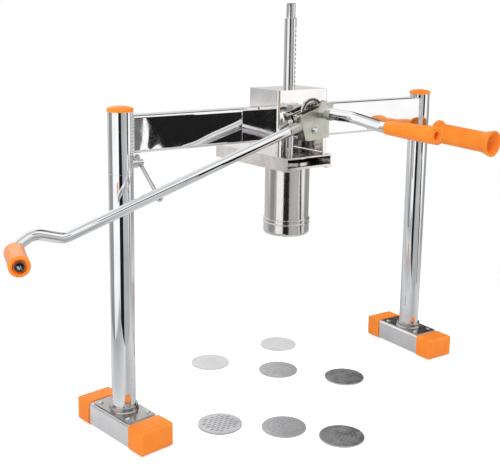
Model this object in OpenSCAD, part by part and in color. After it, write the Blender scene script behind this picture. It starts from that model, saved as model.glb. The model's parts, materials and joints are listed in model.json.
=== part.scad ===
// Hand cranked noodle and pasta press: a rack plunger driven through a ratchet
// head, on a cross beam between two posts with pull-out legs.
// Places are written from the press axis: x right, y away from the user, z up
// from the floor. Every module then shifts by frame_shift, so that the origin
// lies under the middle of the whole object.

/* [Posts and beam] */
// Distance between the axes of the two posts
post_spacing = 690; // [600:5:760]
// Outside diameter of the posts
post_d = 40; // [36:0.5:44]
// Wall of the post sleeves
post_wall = 2; // [1.5:0.1:2.5]
// Height of the top end of the post sleeves
post_top = 537; // [534:1:580]
// Height of the joint between the sleeves and the legs
seam_z = 440; // [420:1:444]
// Length of the leg's spigot inside the sleeve
spigot_len = 80; // [50:1:90]
// Height of the cross beam's section
beam_h = 60; // [50:1:62]
// Depth of the cross beam's section
beam_d = 30; // [25:1:34]
// Wall of the cross beam
beam_wall = 2; // [1.5:0.1:2.5]
// Corner radius of the cross beam
beam_r = 5; // [3:0.5:8]
// Height of the cross beam's underside
beam_z = 471; // [466:1:474]
// Distance from the press axis back to the beam's middle plane
beam_back = 29.5; // [29:0.5:33]
// Distance of the press axis to the left of the middle between the posts
head_shift = 27; // [0:1:60]

/* [Feet] */
// Width of the foot tubes
foot_w = 62; // [56:1:70]
// Height of the foot tubes
foot_h = 38; // [30:1:42]
// Length of a foot over its end caps
foot_len = 187; // [160:1:220]
// Length of a foot's rubber end cap
foot_cap_len = 36; // [25:1:42]
// Wall of a foot's rubber end cap
foot_cap_wall = 2; // [1.5:0.1:3]
// Turn of the left foot about its post
foot_turn_left = 6; // [0:1:10]
// Turn of the right foot about its post
foot_turn_right = -3; // [-10:1:0]
// Thickness of the plate welded under the leg collar
foot_plate_t = 2.5; // [2:0.1:4]
// Length of that plate
foot_plate_len = 104; // [90:1:110]
// Height of the leg collar above the plate
collar_h = 9; // [6:0.5:14]
// Wall of the leg collar
collar_wall = 3.5; // [2.5:0.1:4]

/* [Head] */
// Width of the head from the press axis to its left side
head_left = 54; // [50:1:60]
// Width of the head from the press axis to its right side
head_right = 58; // [50:1:62]
// Distance from the press axis to the head's front face
head_front = 37; // [35:0.5:38.5]
// Height of the head's top face
head_top_z = 564; // [562:1:580]
// Sheet thickness of the head
sheet = 2.5; // [2:0.1:3]
// Width of the narrow strips beside the front openings
front_strip = 8; // [6:0.5:10]
// Width of the tray
tray_w = 102; // [96:1:106]
// Distance from the press axis to the front end of the tray
tray_front = 59; // [54:1:62]
// Distance from the press axis to the back end of the tray
tray_back = 148; // [100:1:160]
// Height of the tray's underside
tray_z = 427.5; // [424:0.5:430]
// Height of the tray's outside
tray_h = 23.5; // [20:0.5:24]

/* [Plunger and barrel] */
// Radius of the rack rod
rod_r = 10.5; // [10:0.1:11]
// Height of the rod's top end
rod_top_z = 710; // [700:1:730]
// Radius of the plain end on top of the rod
rod_end_r = 8; // [6:0.1:9]
// Length of that plain end
rod_end_len = 25; // [15:1:30]
// Module of the rack and pinion teeth
tooth_m = 2.5; // [2.4:0.05:2.55]
// Number of teeth on the pinion
pinion_teeth = 12; // [12:1:12]
// Distance from the press axis to the rack's pitch line
rack_pitch_x = 6; // [5:0.5:6.5]
// Number of gaps cut in the rack
rack_gaps = 20; // [19:1:20]
// Outside radius of the barrel
barrel_r = 39.5; // [37:0.25:40.5]
// Wall of the barrel
barrel_wall = 1.5; // [1:0.1:2]
// Height of the barrel's lower end
barrel_z = 310.5; // [300:0.5:320]
// Distance from the press axis to the back edge of the barrel's carrier plate
carrier_back = 46; // [44:0.5:60]
// Thickness of that plate
carrier_t = 4; // [2.5:0.1:5]
// Height of the end cap
barrel_cap_h = 29; // [26:1:36]
// Radius of the end cap's mouth
barrel_mouth_r = 33; // [30:0.5:34]
// Height of the piston
piston_h = 9; // [7:0.5:9.5]
// Thickness of a die
die_t = 2.5; // [1.5:0.1:2.8]

/* [Crank] */
// Height of the drive shaft
shaft_z = 525; // [521:0.5:526]
// Tilt of the crank rod below the level
crank_tilt = 17; // [10:1:17]
// Distance from the drive shaft to the first bend of the crank rod
crank_reach = 500; // [420:5:520]
// Radius of the crank rod
crank_rod_r = 8; // [6:0.25:8.25]
// Distance of the crank rod below the drive shaft
crank_drop = 9.6; // [8:0.1:12]
// Radius of the roller grip
roller_r = 14.5; // [13:0.5:17]
// Length of the roller grip
roller_len = 73; // [60:1:80]
// Radius of the side handle's tube
side_bar_r = 9.5; // [8:0.25:10]
// Radius of the side handle's grip
side_grip_r = 14; // [12:0.5:15]
// Length of the side handle's grip
side_grip_len = 102; // [85:1:106]
// Distance from the press axis to the end of the side handle
side_end_y = 301; // [297:1:340]
// Radius of the big grip on the right post
big_grip_r = 20; // [17:0.5:22]
// Length of that grip
big_grip_len = 130; // [110:1:140]

/* [Clamp screws] */
// Height of the clamp screws
clamp_z = 453; // [451:0.5:453.5]
// Radius of a clamp screw
clamp_r = 4; // [3:0.25:4.5]
// Length of a tommy bar between its ball ends
bar_len = 89; // [80:1:90]
// Radius of a tommy bar
bar_r = 3; // [2.5:0.1:3.2]
// Radius of a tommy bar's ball ends
ball_r = 5.5; // [5:0.1:5.6]

/* [Hidden] */
// Clearances: running fits, parts that only pass by, and pieces set side by side
run_fit = 0.05;
slip_gap = 0.3;
weld_gap = 0.05;
// Overrun of a cutting body past the face that it cuts
cut = 1;
// Lap of a straight run over a bend, and the bend's thinning
bend_lap = 0.6;
bend_step = 0.04;
// Segments of round work and of a rounded corner in a sheet outline
$fn = 64;
corner_steps = 6;
flat_angle = 180;

// Places worked out from the driving sizes
post_r = post_d / 2;
left_x = head_shift - post_spacing / 2;
right_x = head_shift + post_spacing / 2;
beam_front = beam_back - beam_d / 2;
beam_top = beam_z + beam_h;
spigot_r = post_r - post_wall - run_fit;
spigot_wall = 2;
foot_top = foot_cap_wall + foot_h;
collar_z = foot_top + foot_plate_t;
tray_top = tray_z + tray_h;
head_back = beam_back + beam_d / 2;
pinion_r = tooth_m * pinion_teeth / 2;
shaft_x = rack_pitch_x + pinion_r;
rack_pitch = PI * tooth_m;
barrel_bore = barrel_r - barrel_wall;
die_play = 1.9;
die_r = barrel_r - die_play;

// Clamp screw parts
boss_r = 8;
boss_len = 8;
screw_head_r = 6.2;
screw_head_len = 10;
screw_gap = 1;
left_bar_dip = 38.4;
right_bar_dip = 170;
clamp_head_x = post_r + boss_len + screw_gap;
bar_x = clamp_head_x + screw_head_len / 2;
bar_stop_gap = 0.3;

// Drive shaft parts
shaft_r = 7.5;
journal_r = 6;
bearing_r = 16;
bearing_w = 9;
bearing_ring = 2.6;
bearing_balls_n = 8;
housing_wall = 2.5;
housing_len = 12;
rear_bush_r = 11;
pinion_back = 5;
pinion_front = 9;
spacer_r = 10;
spacer_len = 1.2;
rear_bush_y = pinion_back + spacer_len;

// Ratchet
ratchet_r = 10.5;
ratchet_depth = 2.6;
ratchet_teeth = 20;
ratchet_w = 10;

// Crank bracket
cheek_t = 2.5;
cheek_back = 40;
cheek_gap = 15;
cheek_front = cheek_back + cheek_gap + 2 * cheek_t;
cheek_top = 9.5;
cheek_left = 38;
cheek_right = 37;
cheek_waist = [16, 19];
cheek_toe = 8;
cheek_low_left = 37;
cheek_low_right = 48;
crank_y = cheek_back + cheek_t + cheek_gap / 2;
flange_t = 3.5;
flange_top = 9.5;
flange_low = 35;
socket_wall = 1.5;
socket_r = crank_rod_r + socket_wall;
socket_len = 24;
socket_u = cheek_left + cheek_t + flange_t;
hub_r = 9.2;
hub_len = 18;
hub_floor = 3;
lock_nut_len = 14;
lock_nut_r = 10.6;
pawl_u = 20;
pawl_w = -24;
pawl_pin_r = 3;
pawl_t = 9;

chrome = [0.80, 0.81, 0.83];
steel = [0.72, 0.72, 0.73];
zinc = [0.76, 0.76, 0.70];
satin = [0.66, 0.66, 0.68];
orange = [1.0, 0.50, 0.12];
white_plastic = [0.90, 0.90, 0.88];
dark = [0.25, 0.25, 0.27];

// Vector helpers
function unit(v) = v / norm(v);
function turn_deg(a, b) = acos(unit(a) * unit(b));

// Outline with every corner rounded: pts are the corners, r the radius
function round_corner(a, p, b, r) =
    let (
        u = unit(a - p),
        v = unit(b - p),
        half = turn_deg(u, v) / 2,
        back = min(r / tan(half), norm(a - p) / 2, norm(b - p) / 2),
        rr = back * tan(half),
        c = p + unit(u + v) * (rr / sin(half)),
        s = p + u * back - c,
        e = p + v * back - c,
        w = flat_angle - 2 * half
    )
    [for (i = [0:corner_steps])
        let (t = i / corner_steps)
        c + (s * sin((1 - t) * w) + e * sin(t * w)) / sin(w)];

function rounded(pts, r) =
    let (n = len(pts))
    [for (i = [0:n - 1]) each round_corner(pts[(i + n - 1) % n], pts[i], pts[(i + 1) % n], r)];

function rect_pts(w, h) = [[-w / 2, -h / 2], [w / 2, -h / 2], [w / 2, h / 2], [-w / 2, h / 2]];

// Puts children at p with their z axis along dir and their x axis near side
module aim(p, dir, side) {
    z = unit(dir);
    y = unit(cross(z, side));
    x = cross(y, z);
    multmatrix([
        [x[0], y[0], z[0], p[0]],
        [x[1], y[1], z[1], p[1]],
        [x[2], y[2], z[2], p[2]],
        [0, 0, 0, 1]
    ])
        children();
}

// Shifts a whole piece from the press axis frame to the object's frame
module placed() {
    translate(frame_shift)
        children();
}

// Round bar along straight runs with rounded bends; radii holds one bend
// radius for each inner point. The straight runs lap a little over the bends,
// which are thinner by a hair.
module bent_bar(pts, r, radii) {
    n = len(pts);
    back = [for (i = [0:n - 1])
        (i == 0 || i == n - 1) ? 0
        : radii[i - 1] * tan(turn_deg(pts[i] - pts[i - 1], pts[i + 1] - pts[i]) / 2)];
    for (i = [0:n - 2]) {
        d = unit(pts[i + 1] - pts[i]);
        a = pts[i] + d * back[i];
        b = pts[i + 1] - d * back[i + 1];
        side = abs(d[1]) > 0.9 ? [1, 0, 0] : [0, 1, 0];
        lap_a = i == 0 ? 0 : bend_lap;
        lap_b = i == n - 2 ? 0 : bend_lap;
        aim(a - d * lap_a, d, side)
            cylinder(r = r, h = norm(b - a) + lap_a + lap_b);
    }
    for (i = [1:n - 2]) {
        d1 = unit(pts[i] - pts[i - 1]);
        d2 = unit(pts[i + 1] - pts[i]);
        inward = unit(d2 - d1 * (d1 * d2));
        start = pts[i] - d1 * back[i];
        centre = start + inward * radii[i - 1];
        aim(centre, cross(-inward, d1), -inward)
            rotate_extrude(angle = turn_deg(d1, d2))
                translate([radii[i - 1], 0])
                    circle(r = r - bend_step);
    }
}

// Rounded rectangular tube along z
module rect_tube(w, h, r, wall, len) {
    linear_extrude(len)
        difference() {
            polygon(rounded(rect_pts(w, h), r));
            polygon(rounded(rect_pts(w - 2 * wall, h - 2 * wall), r - wall));
        }
}

// Cylinder along +y from y1 to y2 at x, z
module y_cyl(x, z, y1, y2, r) {
    translate([x, y2, z])
        rotate([90, 0, 0])
            cylinder(r = r, h = y2 - y1);
}

// Flat plate in the xz plane from y1 to y2, from an outline in x and z
module y_plate(pts, y1, y2) {
    translate([0, y2, 0])
        rotate([90, 0, 0])
            linear_extrude(y2 - y1)
                polygon(pts);
}

// Posts and beam

module beam() {
    color(chrome) placed()
        difference() {
            translate([left_x, beam_back, beam_z + beam_h / 2])
                rotate([90, 0, 90])
                    rect_tube(beam_d, beam_h, beam_r, beam_wall, post_spacing);
            for (x = [left_x, right_x])
                translate([x, beam_back, beam_z - cut])
                    cylinder(r = post_r + weld_gap, h = beam_h + 2 * cut);
        }
}

module sleeve(x, dir) {
    color(chrome) placed()
        translate([x, beam_back, 0])
            difference() {
                translate([0, 0, seam_z])
                    cylinder(r = post_r, h = post_top - seam_z);
                translate([0, 0, seam_z - cut])
                    cylinder(r = post_r - post_wall, h = post_top - seam_z + 2 * cut);
                translate([0, 0, clamp_z])
                    rotate([0, dir * 90, 0])
                        cylinder(r = clamp_r + run_fit, h = post_d);
            }
}

module left_sleeve() { sleeve(left_x, 1); }
module right_sleeve() { sleeve(right_x, 1); }

post_cap_rim = 4.4;
post_cap_dome = 4.6;
post_cap_over = 0.8;
post_cap_plug = 10;

module post_caps() {
    color(orange) placed()
        for (x = [left_x, right_x])
            translate([x, beam_back, post_top])
                rotate_extrude()
                    polygon([
                        [0, -post_cap_plug],
                        [post_r - post_wall - slip_gap, -post_cap_plug],
                        [post_r - post_wall - slip_gap, 0],
                        [post_r + post_cap_over, 0],
                        [post_r + post_cap_over, post_cap_rim],
                        for (a = [15:15:90])
                            [(post_r + post_cap_over) * cos(a), post_cap_rim + post_cap_dome * sin(a)]
                    ]);
}

module clamp_bosses() {
    color(steel) placed()
        for (x = [left_x, right_x])
            translate([x, beam_back, 0])
                difference() {
                    translate([0, 0, clamp_z])
                        rotate([0, 90, 0])
                            cylinder(r = boss_r, h = post_r + boss_len);
                    translate([0, 0, clamp_z])
                        rotate([0, 90, 0])
                            cylinder(r = clamp_r + run_fit, h = post_r + boss_len + cut);
                    translate([0, 0, clamp_z - boss_r - cut])
                        cylinder(r = post_r + weld_gap, h = 2 * boss_r + 2 * cut);
                }
}

// Legs and feet

module leg(x) {
    color(chrome) placed()
        translate([x, beam_back, 0])
            rotate_extrude()
                polygon([
                    [spigot_r - spigot_wall, collar_z],
                    [post_r, collar_z],
                    [post_r, seam_z - leg_chamfer],
                    [post_r - leg_chamfer, seam_z],
                    [spigot_r, seam_z],
                    [spigot_r, seam_z + spigot_len - leg_chamfer],
                    [spigot_r - leg_chamfer, seam_z + spigot_len],
                    [spigot_r - spigot_wall, seam_z + spigot_len]
                ]);
}
leg_chamfer = 0.8;

module left_leg() { leg(left_x); }
module right_leg() { leg(right_x); }

module at_foot(x, turn) {
    color(satin) placed()
        translate([x, beam_back, 0])
            rotate([0, 0, turn])
                children();
}

foot_r = 3;
foot_wall = 2;
plate_inset = 4;
screw_pitch_x = 38;
screw_pitch_y = 80;
foot_screw_r = 2.5;
foot_screw_head_r = 4.6;
foot_screw_head_h = 2.2;
foot_screw_len = 10;
collar_weld = 2;

module collar(x, turn) {
    at_foot(x, turn)
        difference() {
            union() {
                translate([0, 0, foot_top])
                    linear_extrude(foot_plate_t)
                        polygon(rounded(rect_pts(foot_w - 2 * plate_inset, foot_plate_len), plate_inset));
                translate([0, 0, collar_z])
                    rotate_extrude()
                        polygon([
                            [post_r + weld_gap, 0],
                            [post_r + collar_wall + collar_weld, 0],
                            [post_r + collar_wall, collar_weld],
                            [post_r + collar_wall, collar_h - collar_weld / 2],
                            [post_r + collar_wall - collar_weld / 2, collar_h],
                            [post_r + weld_gap, collar_h]
                        ]);
            }
            for (sx = [-1, 1], sy = [-1, 1])
                translate([sx * screw_pitch_x / 2, sy * screw_pitch_y / 2, foot_top - cut])
                    cylinder(r = foot_screw_r + run_fit, h = foot_plate_t + 2 * cut);
        }
}

module left_collar() { collar(left_x, foot_turn_left); }
module right_collar() { collar(right_x, foot_turn_right); }

module collar_screws(x, turn) {
    at_foot(x, turn)
        for (sx = [-1, 1], sy = [-1, 1])
            translate([sx * screw_pitch_x / 2, sy * screw_pitch_y / 2, collar_z])
                rotate_extrude()
                    polygon([
                        [0, foot_screw_head_h],
                        [foot_screw_head_r * 0.5, foot_screw_head_h],
                        [foot_screw_head_r, foot_screw_head_h * 0.35],
                        [foot_screw_head_r, 0],
                        [foot_screw_r, 0],
                        [foot_screw_r, -foot_screw_len],
                        [0, -foot_screw_len]
                    ]);
}

module left_collar_screws() { collar_screws(left_x, foot_turn_left); }
module right_collar_screws() { collar_screws(right_x, foot_turn_right); }

module foot_tube(x, turn) {
    at_foot(x, turn)
        difference() {
            translate([0, (foot_len - 2 * foot_cap_wall) / 2, foot_cap_wall + foot_h / 2])
                rotate([90, 0, 0])
                    rect_tube(foot_w, foot_h, foot_r, foot_wall, foot_len - 2 * foot_cap_wall);
            for (sx = [-1, 1], sy = [-1, 1])
                translate([sx * screw_pitch_x / 2, sy * screw_pitch_y / 2, foot_top - foot_wall - cut])
                    cylinder(r = foot_screw_r + run_fit, h = foot_wall + 2 * cut);
        }
}

module left_foot_tube() { foot_tube(left_x, foot_turn_left); }
module right_foot_tube() { foot_tube(right_x, foot_turn_right); }

foot_cap_r = 7;

// Block with rounded edges, cut from three crossed outlines
module foot_cap_block() {
    w = foot_w + 2 * foot_cap_wall;
    h = foot_h + 2 * foot_cap_wall;
    intersection() {
        translate([0, foot_cap_len, h / 2])
            rotate([90, 0, 0])
                linear_extrude(foot_cap_len)
                    polygon(rounded(rect_pts(w, h), foot_cap_r));
        linear_extrude(h)
            polygon(rounded([
                [-w / 2, -2 * foot_cap_r],
                [w / 2, -2 * foot_cap_r],
                [w / 2, foot_cap_len],
                [-w / 2, foot_cap_len]
            ], foot_cap_r));
        translate([-w / 2, 0, 0])
            rotate([90, 0, 90])
                linear_extrude(w)
                    polygon(rounded([
                        [-2 * foot_cap_r, 0],
                        [foot_cap_len, 0],
                        [foot_cap_len, h],
                        [-2 * foot_cap_r, h]
                    ], foot_cap_r));
    }
}

module foot_caps(x, turn) {
    at_foot(x, turn)
        for (flip = [0, 180])
            rotate([0, 0, flip])
                translate([0, foot_len / 2 - foot_cap_len, 0])
                    difference() {
                        foot_cap_block();
                        translate([0, foot_cap_len - foot_cap_wall, foot_cap_wall + foot_h / 2])
                            rotate([90, 0, 0])
                                linear_extrude(foot_cap_len)
                                    polygon(rounded(rect_pts(foot_w, foot_h), foot_r));
                    }
}

module left_foot_caps() { color(orange) foot_caps(left_x, foot_turn_left); }
module right_foot_caps() { color(orange) foot_caps(right_x, foot_turn_right); }

// Clamp screws with sliding tommy bars

module at_clamp(x, dip) {
    placed()
        translate([x, beam_back, clamp_z])
            rotate([dip, 0, 0])
                children();
}

module clamp_screw(x, dip) {
    color(steel)
        at_clamp(x, dip)
            difference() {
                rotate([0, 90, 0])
                    rotate_extrude()
                        polygon([
                            [0, spigot_r + slip_gap],
                            [clamp_r, spigot_r + slip_gap],
                            [clamp_r, clamp_head_x],
                            [screw_head_r - screw_gap, clamp_head_x],
                            [screw_head_r, clamp_head_x + screw_gap],
                            [screw_head_r, clamp_head_x + screw_head_len - screw_gap],
                            [screw_head_r - screw_gap, clamp_head_x + screw_head_len],
                            [0, clamp_head_x + screw_head_len]
                        ]);
                y_cyl(bar_x, 0, -screw_head_r - cut, screw_head_r + cut, bar_r + run_fit);
            }
}

module left_clamp_screw() { clamp_screw(left_x, left_bar_dip); }
module right_clamp_screw() { clamp_screw(right_x, right_bar_dip); }

bar_near = screw_head_r + bar_stop_gap + ball_r;
bar_far = bar_len - bar_near;

module tommy_bar(x, dip) {
    color(steel)
        at_clamp(x, dip)
            union() {
                y_cyl(bar_x, 0, -bar_far, bar_near, bar_r);
                for (y = [-bar_far, bar_near])
                    translate([bar_x, y, 0])
                        sphere(r = ball_r);
            }
}

module left_tommy_bar() { tommy_bar(left_x, left_bar_dip); }
module right_tommy_bar() { tommy_bar(right_x, right_bar_dip); }

// Head: sheet walls folded with round corners
fold_r = 4;
head_outline = rounded([
    [-head_left, -head_front],
    [head_right, -head_front],
    [head_right, head_back],
    [-head_left, head_back]
], fold_r);

// Keeps what lies inside the head's outline
module within_head() {
    intersection() {
        children();
        translate([0, 0, tray_top])
            linear_extrude(head_top_z - tray_top)
                polygon(head_outline);
    }
}

module head_shell() {
    color(chrome) placed()
        difference() {
            within_head() union() {
                for (x = [-head_left, head_right - sheet])
                    translate([x, -head_front + sheet, tray_top])
                        cube([sheet, head_front - sheet + head_back, head_top_z - sheet - tray_top]);
                translate([-head_left + sheet, head_back - sheet, tray_top])
                    cube([head_left + head_right - 2 * sheet, sheet, head_top_z - sheet - tray_top]);
            }
            translate([-head_left - cut, beam_front - slip_gap, beam_z - slip_gap])
                cube([head_left + head_right + 2 * cut, beam_d + slip_gap + cut, beam_h + 2 * slip_gap]);
        }
}

front_top_band = 13;
front_low_h = 28;
front_open_right = 4;

module head_front() {
    color(chrome) placed()
        difference() {
            within_head()
                y_plate([
                    [-head_left, tray_top],
                    [-head_left, head_top_z - sheet],
                    [head_right, head_top_z - sheet],
                    [head_right, tray_top],
                    [head_right - front_strip, tray_top],
                    [head_right - front_strip, tray_top + front_low_h],
                    [front_open_right, tray_top + front_low_h],
                    [front_open_right, head_top_z - front_top_band],
                    [-head_left + front_strip, head_top_z - front_top_band],
                    [-head_left + front_strip, tray_top]
                ], -head_front, -head_front + sheet);
            y_cyl(shaft_x, shaft_z, -head_front - cut, -head_front + sheet + cut, bearing_r);
        }
}

module head_top() {
    color(chrome) placed()
        difference() {
            translate([0, 0, head_top_z - sheet])
                linear_extrude(sheet)
                    polygon(head_outline);
            translate([0, 0, head_top_z - sheet - cut])
                cylinder(r = rod_r + slip_gap, h = sheet + 2 * cut);
        }
}

inner_plate_t = 3;
inner_plate_low = 42;
inner_plate_z = shaft_z - inner_plate_low;
bush_r = 15;
bush_len = 15;

// Bearing plate between the side walls, welded flat on the beam's front
module head_inner_plate() {
    color(chrome) placed()
        difference() {
            translate([-head_left + sheet, beam_front - inner_plate_t, inner_plate_z])
                cube([
                    head_left + head_right - 2 * sheet,
                    inner_plate_t,
                    head_top_z - sheet - bush_len - inner_plate_z
                ]);
            y_cyl(shaft_x, shaft_z, beam_front - inner_plate_t - cut, beam_front + cut, rear_bush_r);
        }
}

// Bush under the top face, which guides the rod
module rod_bush() {
    color("darkgoldenrod") placed()
        translate([0, 0, head_top_z - sheet - bush_len])
            difference() {
                cylinder(r = bush_r, h = bush_len);
                translate([0, 0, -cut])
                    cylinder(r = rod_r + run_fit, h = bush_len + 2 * cut);
            }
}

// The tray that the barrel hangs in: a folded channel, open at the front
slot_r = barrel_r + slip_gap;
piston_hole_play = 1;
piston_hole_r = barrel_bore + piston_hole_play;

module tray() {
    color(chrome) placed()
        difference() {
            translate([-tray_w / 2, -tray_front, tray_z])
                cube([tray_w, tray_front + tray_back, tray_h]);
            translate([-tray_w / 2 + sheet, -tray_front - cut, tray_z + sheet])
                cube([tray_w - 2 * sheet, tray_front + tray_back - sheet + cut, tray_h - 2 * sheet]);
            translate([0, 0, tray_z - cut])
                cylinder(r = slot_r, h = sheet + 2 * cut);
            translate([-slot_r, -tray_front - cut, tray_z - cut])
                cube([2 * slot_r, tray_front + cut, sheet + 2 * cut]);
            translate([0, 0, tray_top - sheet - cut])
                cylinder(r = piston_hole_r, h = sheet + 2 * cut);
        }
}

// Drive shaft, bearings, pinion and ratchet wheel

module bearing_housing() {
    color(satin) placed()
        difference() {
            y_cyl(shaft_x, shaft_z, -head_front + sheet, -head_front + housing_len, bearing_r + housing_wall);
            y_cyl(shaft_x, shaft_z, -head_front, -head_front + bearing_w, bearing_r);
            y_cyl(shaft_x, shaft_z, -head_front, -head_front + housing_len + cut, bearing_r - bearing_ring);
        }
}

module rear_bush() {
    color("darkgoldenrod") placed()
        difference() {
            y_cyl(shaft_x, shaft_z, rear_bush_y, beam_front, rear_bush_r);
            y_cyl(shaft_x, shaft_z, rear_bush_y - cut, beam_front + cut, shaft_r + run_fit);
        }
}

ball_track_r = (bearing_r + shaft_r) / 2;
bearing_ball_r = 2.2;
ball_gap = 0.1;
groove_r = bearing_ball_r + ball_gap;

module bearing_ring_solid(r_in, r_out) {
    color(steel) placed()
        translate([shaft_x, -head_front + bearing_w, shaft_z])
            rotate([90, 0, 0])
                rotate_extrude()
                    difference() {
                        translate([r_in, 0])
                            square([r_out - r_in, bearing_w]);
                        translate([ball_track_r, bearing_w / 2])
                            circle(r = groove_r, $fn = 32);
                    }
}

module bearing_outer_ring() { bearing_ring_solid(bearing_r - bearing_ring, bearing_r); }
module bearing_inner_ring() { bearing_ring_solid(shaft_r, shaft_r + bearing_ring); }

module bearing_balls() {
    color(steel) placed()
        for (i = [0:bearing_balls_n - 1])
            translate([shaft_x, -head_front + bearing_w / 2, shaft_z])
                rotate([0, i * 360 / bearing_balls_n, 0])
                    translate([ball_track_r, 0, 0])
                        sphere(r = bearing_ball_r, $fn = 32);
}

journal_end = cheek_front + hub_len - lock_nut_len / 2 - hub_floor;
shaft_chamfer = 0.6;

module drive_shaft() {
    color(steel) placed()
        translate([shaft_x, 0, shaft_z])
            rotate([90, 0, 0])
                rotate_extrude()
                    polygon([
                        [0, -beam_front + slip_gap],
                        [shaft_r, -beam_front + slip_gap],
                        [shaft_r, cheek_back - slip_gap],
                        [journal_r, cheek_back - slip_gap],
                        [journal_r, journal_end - shaft_chamfer],
                        [journal_r - shaft_chamfer, journal_end],
                        [0, journal_end]
                    ]);
}

module shaft_spacers() {
    color(satin) placed()
        difference() {
            union() {
                y_cyl(shaft_x, shaft_z, pinion_back, pinion_back + spacer_len, spacer_r);
                y_cyl(shaft_x, shaft_z, -head_front + bearing_w, -pinion_front, spacer_r);
            }
            y_cyl(shaft_x, shaft_z, -head_front, pinion_back + spacer_len + cut, shaft_r);
        }
}

// Involute pinion
pressure = 20;
addendum = tooth_m;
dedendum = 1.25 * tooth_m;
backlash = 0.06 * tooth_m;
flank_steps = 6;

base_r = pinion_r * cos(pressure);
tip_r = pinion_r + addendum;
root_r = pinion_r - dedendum;
function inv_deg(r) = let (t = acos(min(1, base_r / r))) tan(t) * 180 / PI - t;
half_tooth_deg = 90 / pinion_teeth - backlash / pinion_r * 90 / PI + inv_deg(pinion_r);
flank_radii = [for (i = [0:flank_steps]) base_r + (tip_r - base_r) * i / flank_steps];
function flank(sgn) = [for (r = flank_radii) let (a = sgn * (half_tooth_deg - inv_deg(r))) [r * cos(a), r * sin(a)]];
function reversed(v) = [for (i = [len(v) - 1:-1:0]) v[i]];
root_a = half_tooth_deg + 0.5;
function tooth_pts() = concat(
    [[root_r * cos(-root_a), root_r * sin(-root_a)]],
    flank(-1),
    reversed(flank(1)),
    [[root_r * cos(root_a), root_r * sin(root_a)]]
);
function turned(v, a) = [for (p = v) [p[0] * cos(a) - p[1] * sin(a), p[0] * sin(a) + p[1] * cos(a)]];
pinion_pts = [for (i = [0:pinion_teeth - 1]) each turned(tooth_pts(), 180 + i * 360 / pinion_teeth)];

module drive_pinion() {
    color(dark) placed()
        translate([shaft_x, pinion_back, shaft_z])
            rotate([90, 0, 0])
                linear_extrude(pinion_back + pinion_front)
                    difference() {
                        polygon(pinion_pts);
                        circle(r = shaft_r);
                    }
}

// Saw teeth: each rises along a ramp and drops along a steep face. They are
// set so that the pawl, once dropped, stands just behind a steep face.
pawl_len = 28;
pawl_reach = 9;
pawl_dist = norm([pawl_u, pawl_w]);
pawl_in_deg = atan2(-pawl_w, -pawl_u)
    + acos((pawl_dist ^ 2 + pawl_len ^ 2 - pawl_reach ^ 2) / (2 * pawl_dist * pawl_len));
pawl_lift_deg = 10;
pawl_lead_deg = 3;
pawl_tip = [pawl_u + pawl_len * cos(pawl_in_deg), pawl_w + pawl_len * sin(pawl_in_deg)];
ratchet_turn = atan2(pawl_tip[1], pawl_tip[0]) - pawl_lead_deg;
ratchet_pts = [for (i = [0:ratchet_teeth - 1])
    let (a = i * 360 / ratchet_teeth, b = (i + 0.92) * 360 / ratchet_teeth)
    each [
        [(ratchet_r - ratchet_depth) * cos(a), (ratchet_r - ratchet_depth) * sin(a)],
        [ratchet_r * cos(b), ratchet_r * sin(b)]
    ]];

module ratchet_wheel() {
    color(dark)
    crank_frame()
        translate([0, crank_y + ratchet_w / 2, 0])
            rotate([90, 0, 0])
                linear_extrude(ratchet_w)
                    difference() {
                        rotate(ratchet_turn)
                            polygon(ratchet_pts);
                        circle(r = journal_r);
                    }
}

// Plunger

piston_z = tray_top - piston_h;
rack_add = 0.7 * tooth_m;
rack_ded = 1.25 * tooth_m;
rack_flat_x = rack_pitch_x + rack_add;
rack_root_x = rack_pitch_x - rack_ded;
rack_first = -1;
rack_flat_run = rack_pitch;
gap_root_half = rack_pitch / 4 + backlash / 4 - rack_ded * tan(pressure);
gap_tip_half = rack_pitch / 4 + backlash / 4 + rack_add * tan(pressure);
rod_chamfer = 1;
rod_foot = 6;
rod_foot_r = rod_r - rod_chamfer;

module plunger_rod() {
    color(steel) placed()
        difference() {
            rotate_extrude()
                polygon([
                    [0, piston_z + piston_h - rod_foot],
                    [rod_foot_r, piston_z + piston_h - rod_foot],
                    [rod_foot_r, piston_z + piston_h],
                    [rod_r, piston_z + piston_h],
                    [rod_r, rod_top_z - rod_end_len - rod_chamfer],
                    [rod_r - rod_chamfer, rod_top_z - rod_end_len],
                    [rod_end_r, rod_top_z - rod_end_len],
                    [rod_end_r, rod_top_z - rod_chamfer],
                    [rod_end_r - rod_chamfer, rod_top_z],
                    [0, rod_top_z]
                ]);
            // the flat that the teeth are cut from
            translate([rack_flat_x, -rod_r - cut, shaft_z + rack_first * rack_pitch - rack_flat_run])
                cube([rod_r, 2 * rod_r + 2 * cut, rack_gaps * rack_pitch + rack_flat_run]);
            for (k = [rack_first:rack_first + rack_gaps - 1])
                translate([0, rod_r + cut, shaft_z + k * rack_pitch])
                    rotate([90, 0, 0])
                        linear_extrude(2 * rod_r + 2 * cut)
                            polygon([
                                [rack_root_x, -gap_root_half],
                                [rack_flat_x + cut, -gap_tip_half - cut * tan(pressure)],
                                [rack_flat_x + cut, gap_tip_half + cut * tan(pressure)],
                                [rack_root_x, gap_root_half]
                            ]);
        }
}

piston_r = barrel_bore - slip_gap - 0.3;
seal_r = barrel_bore - slip_gap;
seal_h = 3;

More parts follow.
